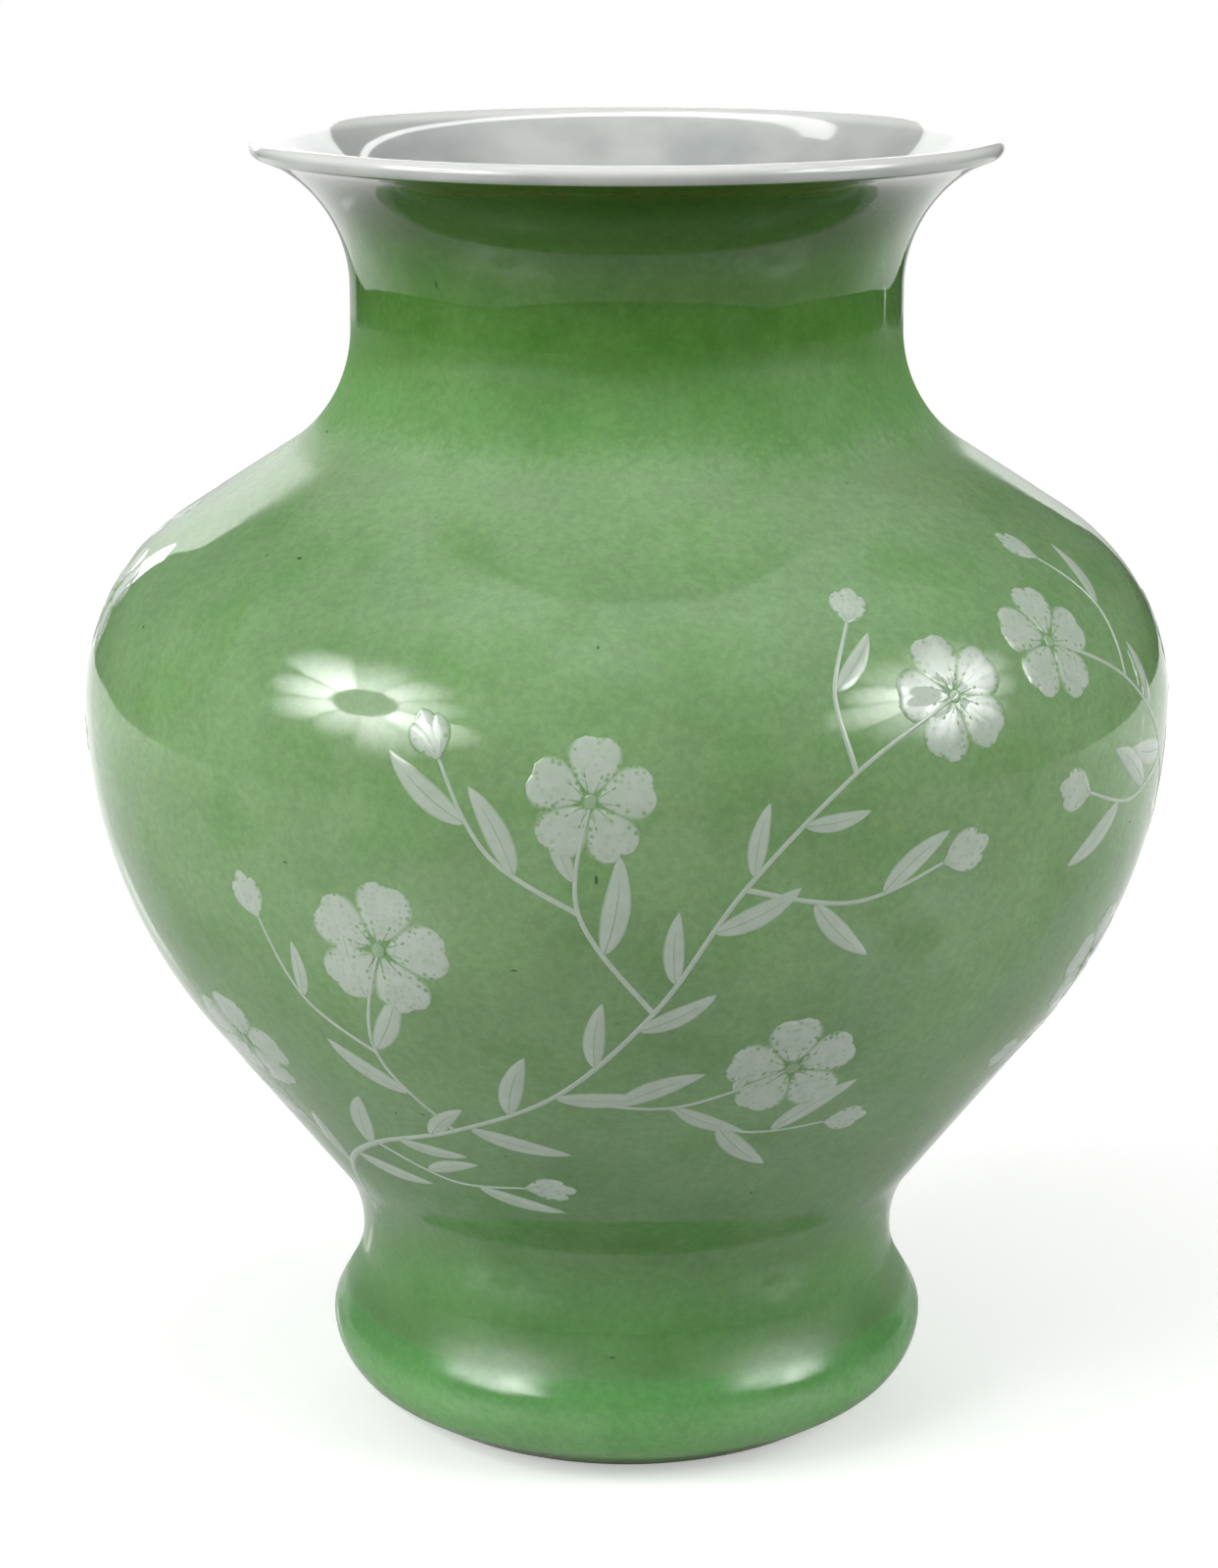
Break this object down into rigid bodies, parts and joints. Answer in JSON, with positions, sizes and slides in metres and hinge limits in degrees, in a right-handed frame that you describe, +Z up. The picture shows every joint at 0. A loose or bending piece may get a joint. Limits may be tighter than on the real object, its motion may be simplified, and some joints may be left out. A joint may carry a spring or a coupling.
{
  "type": "vase",
  "caption": "Wide-mouthed baluster vase with a flared white lip, full belly, drawn-in waist and spreading foot, glazed green outside and white inside.",
  "frame": {"origin": "centre of the standing ring's underside, on the vase's axis, in the plane it stands on", "axes": "+Z up along the vase's axis of revolution; -Y is the side that faces the picture's camera"},
  "size_m": [0.2094, 0.2094, 0.25],
  "materials": {
    "bare_clay": "unglazed, matt, fine-grained",
    "joint_slip": "unglazed, matt",
    "green_glaze": "glossy, lightly mottled apple green",
    "white_glaze": "glossy white",
    "recess_glaze": "thin clear glaze over pale clay"
  },
  "bodies": {
    "root": {"foot_ring": "bare_clay", "base_floor": "bare_clay", "foot_section": "bare_clay", "waist_lute": "joint_slip", "lower_body": "bare_clay", "belly_lute": "joint_slip", "shoulder_section": "bare_clay", "neck_lute": "joint_slip", "neck_and_mouth": "bare_clay", "green_glaze": "green_glaze", "white_glaze": "white_glaze", "recess_glaze": "recess_glaze"}
  },
  "joints": []
}
